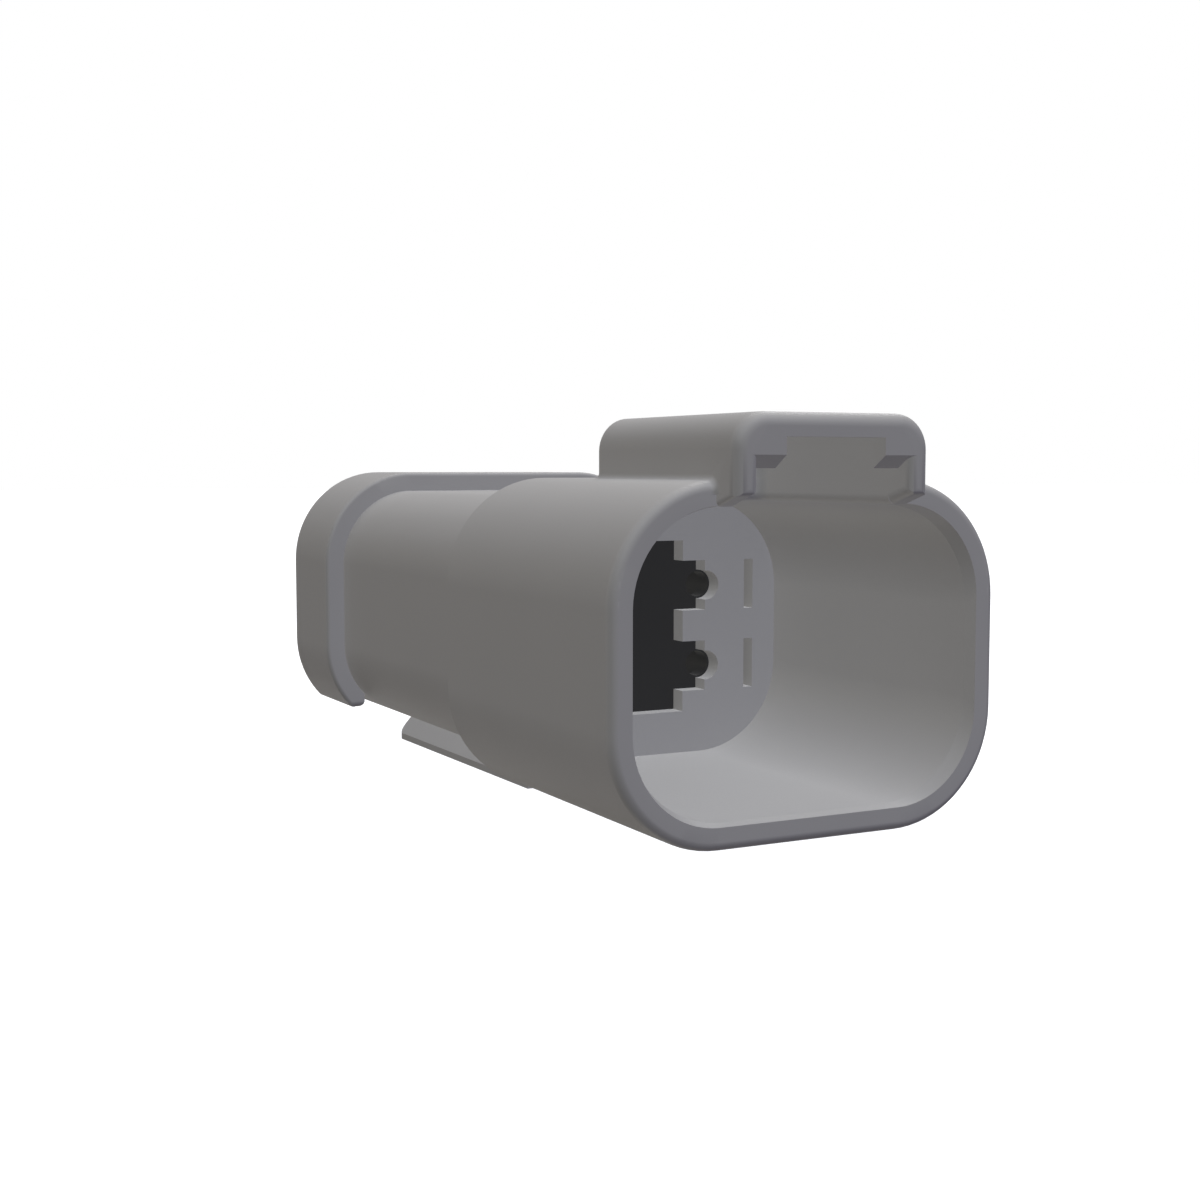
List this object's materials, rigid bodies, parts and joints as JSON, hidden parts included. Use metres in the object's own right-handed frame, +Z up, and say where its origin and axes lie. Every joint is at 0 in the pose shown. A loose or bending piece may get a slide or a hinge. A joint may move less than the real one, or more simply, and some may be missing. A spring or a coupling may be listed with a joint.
{
  "type": "sealed wire-to-wire connector receptacle",
  "caption": "Sealed rectangular receptacle for a wiring harness with a rounded mouth, a latch hood on top, a clip rail below and a collared rear cap over the wire seal.",
  "frame": {"origin": "centre of the mouth in the plane of the shell's rim", "axes": "+Y from the mouth to the rear cap, +Z up through the latch hood, +X to the right when looking into the mouth"},
  "size_m": [0.0274, 0.0523, 0.0233],
  "materials": {
    "grey_plastic": "fine satin moulding",
    "black_plastic": "satin",
    "black_rubber": "matt"
  },
  "bodies": {
    "root": {"housing": "grey_plastic", "contact_carrier": "black_plastic", "wire_seal": "black_rubber", "rear_cap": "grey_plastic"}
  },
  "joints": []
}
